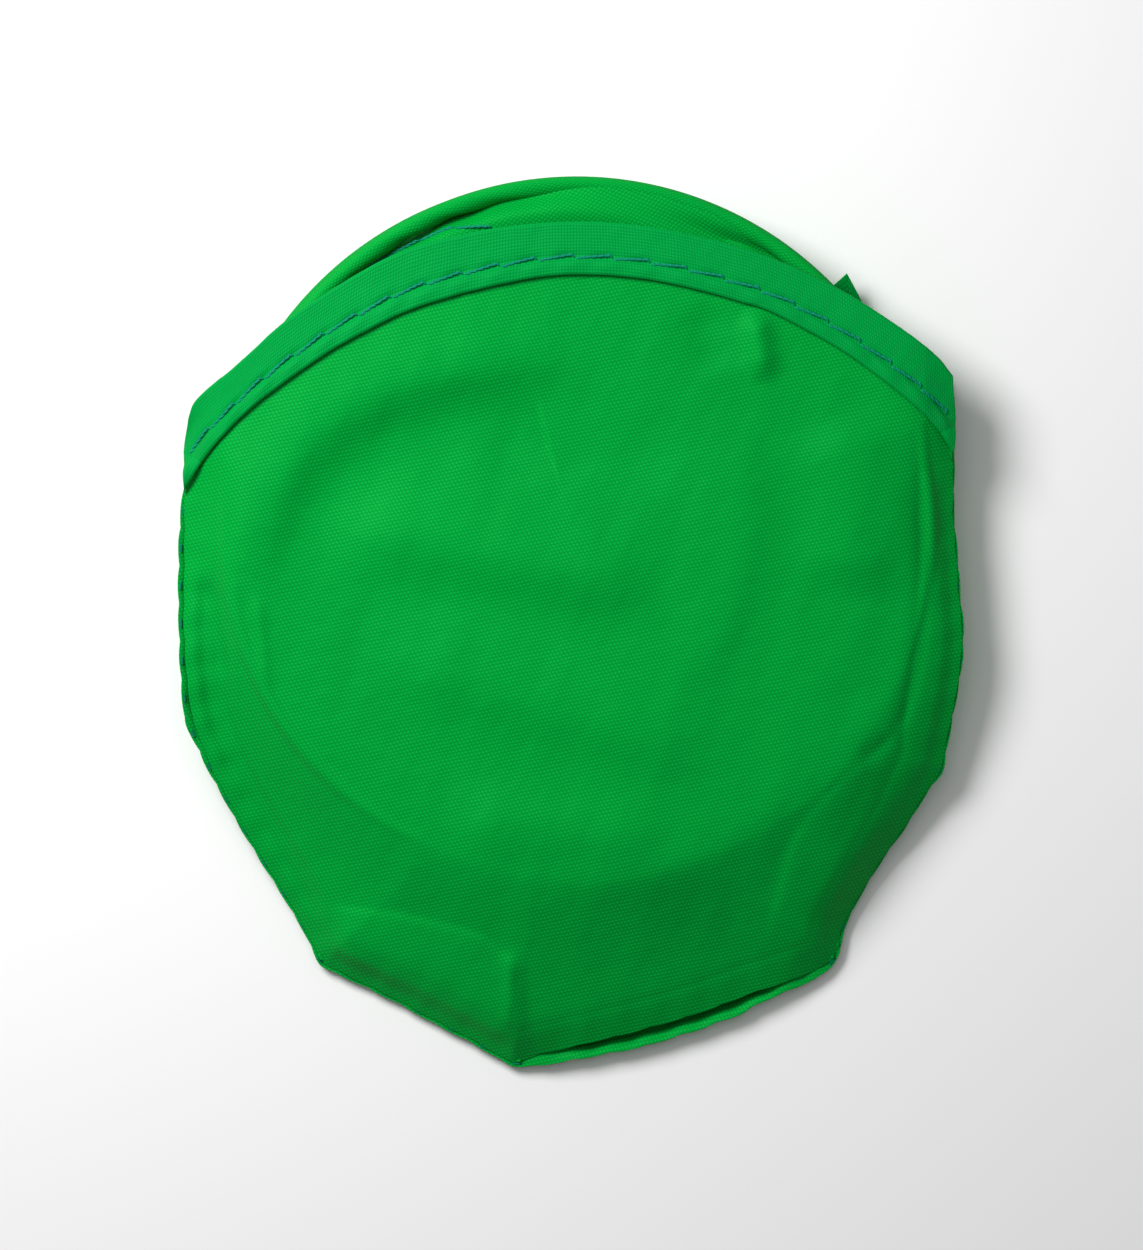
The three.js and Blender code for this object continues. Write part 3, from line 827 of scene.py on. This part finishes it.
def front_binding():
    """The strip on the front mouth edge, and its topstitching."""
    piece = binding("front_binding", front_height, 1)
    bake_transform(piece)
    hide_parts("front_mouth_binding")
    line, normals = mouth_line(front_height, 1, TOPSTITCH_LINE, BINDING_THICKNESS + THREAD_LIFT)
    thread = stitches("front_binding_thread", line, normals)
    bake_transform(thread)
    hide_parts("front_binding_stitching")
    return piece, thread


def back_binding():
    """The strip on the back mouth edge, and its topstitching."""
    piece = binding("back_binding", back_height, -1, stray=dog_ear)
    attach(piece, "pouch")
    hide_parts("back_mouth_binding")
    line, normals = mouth_line(back_height, -1, TOPSTITCH_LINE, BINDING_THICKNESS + THREAD_LIFT)
    thread = stitches("back_binding_thread", line, normals)
    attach(thread, "pouch")
    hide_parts("back_binding_stitching")
    return piece, thread


def seam_thread():
    """The seam's thread shows as short stitches between the two panels."""
    line = BACK_LINE[4:-4]
    inner = mix(line, PANEL_MIDDLE, 0.008)
    centres = np.column_stack([inner, seam_height(inner) - 0.1])
    up = np.tile([0.0, 0.0, 1.0], (len(line), 1))
    piece = stitches("seam_thread", centres, up, radius=0.14, share=0.22, slant=0.0)
    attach(piece, "pouch")
    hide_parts("seam_stitching")
    return piece


# ---------- folded bag ----------


def coil_line(angles):
    """The hoop's centreline: three coils before it closes, each swaying out and in, up and down."""
    middle_radius = HOOP_RADIUS - BAND_HALF - COIL_SWAY * math.cos(math.pi / 6)
    phase = angles / COILS
    radius = middle_radius + COIL_SWAY * np.cos(phase)
    return around_pack(radius, angles - math.pi / 2, MID_LEVEL + COIL_LIFT * np.sin(phase))


def covered(heading):
    """1 where the bag's cloth lies over the coils, and 0 where a groove parts it from them."""
    return smoothstep(0.035, 0.59, np.cos(heading - math.radians(30)))


def coil_reach(heading):
    """Outermost radius, and highest and lowest level, of the sleeves at each heading."""
    turns = [coil_line(heading + math.pi / 2 + 2 * math.pi * turn) for turn in range(COILS)]
    radius = [pack_radius(turn) for turn in turns]
    levels = [turn[:, 2] for turn in turns]
    return (np.max(radius, axis=0) + SLEEVE_OUTER, np.max(levels, axis=0) + SLEEVE_HALF_HEIGHT,
            np.min(levels, axis=0) - SLEEVE_HALF_HEIGHT)


def hoop_sleeve():
    """Cloth channel round the hoop: snug on its outer side, slack and wrinkled on its inner side."""
    rings, sides = 1400, 20
    side_width = 0.55  # of the cloth between two lines of points
    opening = 0.16  # angle left open at each end, where the ferrule is
    angles = np.linspace(opening, COILS * 2 * math.pi - opening, rings)
    centre = coil_line(angles)
    heading = angles - math.pi / 2
    radial = np.column_stack([np.cos(heading), np.sin(heading), np.zeros(rings)])
    up = np.array([0.0, 0.0, 1.0])
    points, uv = [], []
    for side in range(sides):
        turn = 2 * math.pi * side / sides
        out = math.cos(turn)
        wrinkle = 0.12 * np.sin(angles * 31 + 2.0 * np.sin(angles * 7) + side * 0.7)
        across = (SLEEVE_OUTER if out > 0 else SLEEVE_INNER) * out + wrinkle * (1 - out) * 0.5
        high = SLEEVE_HALF_HEIGHT * math.copysign(abs(math.sin(turn)) ** 0.75, math.sin(turn))
        points.append(centre + radial * across[:, None] + up * high)
        uv.append(np.column_stack([angles * GROOVE_RADIUS, np.full(rings, side * side_width)]))
    grid = np.stack(points, axis=1).reshape(-1, 3)
    faces = grid_faces(rings, sides)
    piece = mesh_object("sleeve_cloth", grid, faces, np.stack(uv, axis=1).reshape(-1, 2), BAG_CLOTH)
    thicken(piece)
    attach(piece, "folded_bag")
    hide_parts("hoop_sleeve")
    return piece


def swirl(radius, angle, seed):
    """Overlapping curved folds, as twisting the bag flat makes them."""
    turn = angle * 5 + radius * 0.11 + seed
    fold = np.sin(turn + 0.7 * np.sin(turn))
    second = np.sin(angle * 3 - radius * 0.16 + 3 * seed)
    fine = np.sin(angle * 13 - radius * 0.23 + 2 * seed) * 0.3
    return (0.7 * fold + 0.4 * second + fine) * smoothstep(3, 20, radius)


def pack_profile(share, heading, side, seed):
    """Radius and level of one face of the folded cloth, from its centre (share 0) to its edge (1)."""
    outer, high, low = coil_reach(heading)
    cover = covered(heading)
    # Where the coils are covered, the cloth runs over them and down outside them.
    edge = mix(GROOVE_RADIUS, outer - 1.0, cover)
    radius = edge * np.minimum(share / PACK_SIDE_SHARE, 1)
    crown = MID_LEVEL + side * (3.0 + 0.55 * swirl(radius, heading, seed))
    top = (high if side > 0 else low) + side * mix(-0.25, 0.15, cover)
    level = mix(crown, top, smoothstep(34, 42, radius))
    # At the mouth the loose cloth swells beside the groove, and dips again further round.
    swell = 0.9 * turned_to(heading, 90, 20) * np.exp(-(((radius - 43.8) / 1.9) ** 2))
    hollow_radius = mix(46.2, 44.4, smoothstep(math.radians(48), math.radians(66), heading))
    hollow = 2.2 * turned_to(heading, 57, 14) * np.exp(-(((radius - hollow_radius) / 1.4) ** 2))
    groove = 3.6 * smoothstep(GROOVE_RADIUS - 3.0, GROOVE_RADIUS, radius) * (1 - cover)
    level = level + side * (swell - hollow - groove)
    pleat = np.sin(heading * 46 + 3 * np.sin(heading * 5)) * smoothstep(39, 44, radius) * (1 - cover)
    # Past its rim the cloth turns down to mid level: outside covered coils, and inside bare ones.
    down = np.clip((share - PACK_SIDE_SHARE) / (1 - PACK_SIDE_SHARE), 0, 1) * math.pi / 2
    drop = mix(np.sin(down), 1 - np.cos(down), cover)
    level = mix(level + side * 0.08 * pleat, MID_LEVEL - side * 0.1, drop)
    outward = 1.2 * np.sin(down) * (2 * cover - 1)
    return radius + 0.1 * pleat + outward, level


def turned_to(heading, degrees, spread):
    """1 in one direction from the middle of the folded bag, fading on either side of it."""
    away = np.abs(np.angle(np.exp(1j * (heading - math.radians(degrees)))))
    return np.exp(-((away / math.radians(spread)) ** 2))


def pack_cloth(name, node, side, seed):
    """One face of the folded cloth inside the coils, the top one where side is 1."""
    rings, columns = 109, 420
    angle = np.linspace(0, 2 * math.pi, columns, endpoint=False)
    share, heading = np.meshgrid(np.linspace(0, 1, rings + 1)[1:], angle, indexing="ij")
    radius, level = pack_profile(share.ravel(), heading.ravel(), side, seed)
    ring_points = around_pack(radius, heading.ravel(), level)
    _, hub_level = pack_profile(np.zeros(1), np.zeros(1), side, seed)
    hub = around_pack(0.0, np.zeros(1), hub_level)
    faces = disc_faces(rings, columns)
    if side < 0:
        faces = [face[::-1] for face in faces]
    # Cloth coordinates follow the surface, so that the weave isn't stretched down the sides.
    grid = ring_points.reshape(rings, columns, 3)
    steps = np.diff(grid, axis=0, prepend=np.broadcast_to(hub, (1, columns, 3)))
    from_hub = np.linalg.norm(steps, axis=2).cumsum(axis=0)
    uv = np.stack([from_hub * np.cos(angle), from_hub * np.sin(angle)], axis=2).reshape(-1, 2)
    points = np.concatenate([hub, ring_points])
    piece = mesh_object(name, points, faces, np.concatenate([[[0, 0]], uv]), BAG_CLOTH)
    thicken(piece)
    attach(piece, "folded_bag")
    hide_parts(node)
    return piece


def sleeve_thread():
    """The stitches that close the sleeve, which run in under the folded cloth where it is covered."""
    heading = np.linspace(math.radians(103), math.radians(282), 700)
    degrees, reach = np.transpose(SLEEVE_SEAM)
    radius = np.interp(np.degrees(heading), degrees, reach)
    share = np.minimum(radius / GROOVE_RADIUS, 1) * PACK_SIDE_SHARE
    _, level = pack_profile(share, heading, 1, TOP_FOLDS)
    line = around_pack(radius, heading, level + 0.25)
    up = np.tile([0.0, 0.0, 1.0], (len(line), 1))
    piece = stitches("sleeve_thread", line[::-1], up, slant=0.2)
    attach(piece, "folded_bag")
    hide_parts("sleeve_stitching")
    return piece


def metal_nodes():
    """The hoop and its ferrule keep their CAD shapes."""
    for name in ("spring_hoop", "hoop_ferrule"):
        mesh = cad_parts[name].data
        mesh.materials.clear()
        mesh.materials.append(STEEL)


# ---------- camera, light and floor ----------


def camera():
    """Straight above the pouch, as the photograph is taken. Its places are in metres."""
    level = 0.010  # of the cloth that the view is sized at
    distance = 0.85
    view_height = 0.1687  # what the image takes in at that level
    data = bpy.data.cameras.new("camera")
    data.sensor_fit = "VERTICAL"
    data.sensor_height = 24.0
    data.lens = 24.0 * distance / view_height
    data.clip_start = 0.05
    piece = bpy.data.objects.new("camera", data)
    piece.location = (0.0, 0.0, distance + level)
    bpy.context.scene.collection.objects.link(piece)
    bpy.context.scene.camera = piece


def area_light(name, place, size, power):
    """A round soft light, aimed at the middle of the pouch."""
    data = bpy.data.lights.new(name, "AREA")
    data.shape = "DISK"
    data.size = size
    data.energy = power
    piece = bpy.data.objects.new(name, data)
    piece.location = place
    piece.rotation_euler = (-Vector(place)).to_track_quat("-Z", "Y").to_euler()
    bpy.context.scene.collection.objects.link(piece)


def lights():
    """A key light from the upper left, a wide fill from above, and a dim even surround."""
    area_light("key", place=(-0.2, 0.19, 0.29), size=0.2, power=1.75)
    area_light("fill", place=(0.02, 0.2, 0.7), size=0.6, power=0.85)
    world = bpy.data.worlds.new("studio")
    world.use_nodes = True
    background = world.node_tree.nodes["Background"]
    background.inputs["Color"].default_value = (1, 1, 1, 1)
    background.inputs["Strength"].default_value = 0.2
    bpy.context.scene.world = world
    bpy.context.scene.view_settings.view_transform = "Standard"


def floor():
    """A pale floor, clear from below, so that the back of the pouch can be looked at."""
    half = 3.0
    corners = [(-half, -half, 0), (half, -half, 0), (half, half, 0), (-half, half, 0)]
    mesh = bpy.data.meshes.new("floor")
    mesh.from_pydata(corners, [], [(0, 1, 2, 3)])
    nodes = Nodes("floor")
    nodes.shader.inputs["Base Color"].default_value = (0.9, 0.9, 0.9, 1)
    nodes.shader.inputs["Roughness"].default_value = 0.9
    side = nodes.add("ShaderNodeNewGeometry")
    nodes.link(nodes.math("SUBTRACT", 1.0, side.outputs["Backfacing"]), nodes.shader.inputs["Alpha"])
    mesh.materials.append(nodes.material)
    piece = bpy.data.objects.new("floor", mesh)
    bpy.context.scene.collection.objects.link(piece)
    # The pouch's low walls would mirror it as a grey rim.
    piece.visible_glossy = False


# ---------- the whole scene ----------

camera()
lights()
floor()
metal_nodes()
front = front_cloth()
back = back_cloth()
front_strip, front_stitches = front_binding()
back_strip, back_stitches = back_binding()
seam = seam_thread()
sleeve = hoop_sleeve()
sleeve_stitches = sleeve_thread()
top_cloth = pack_cloth("bag_wall_cloth", "bag_wall", 1, TOP_FOLDS)
base_cloth = pack_cloth("bag_base_cloth", "bag_base_panel", -1, BASE_FOLDS)
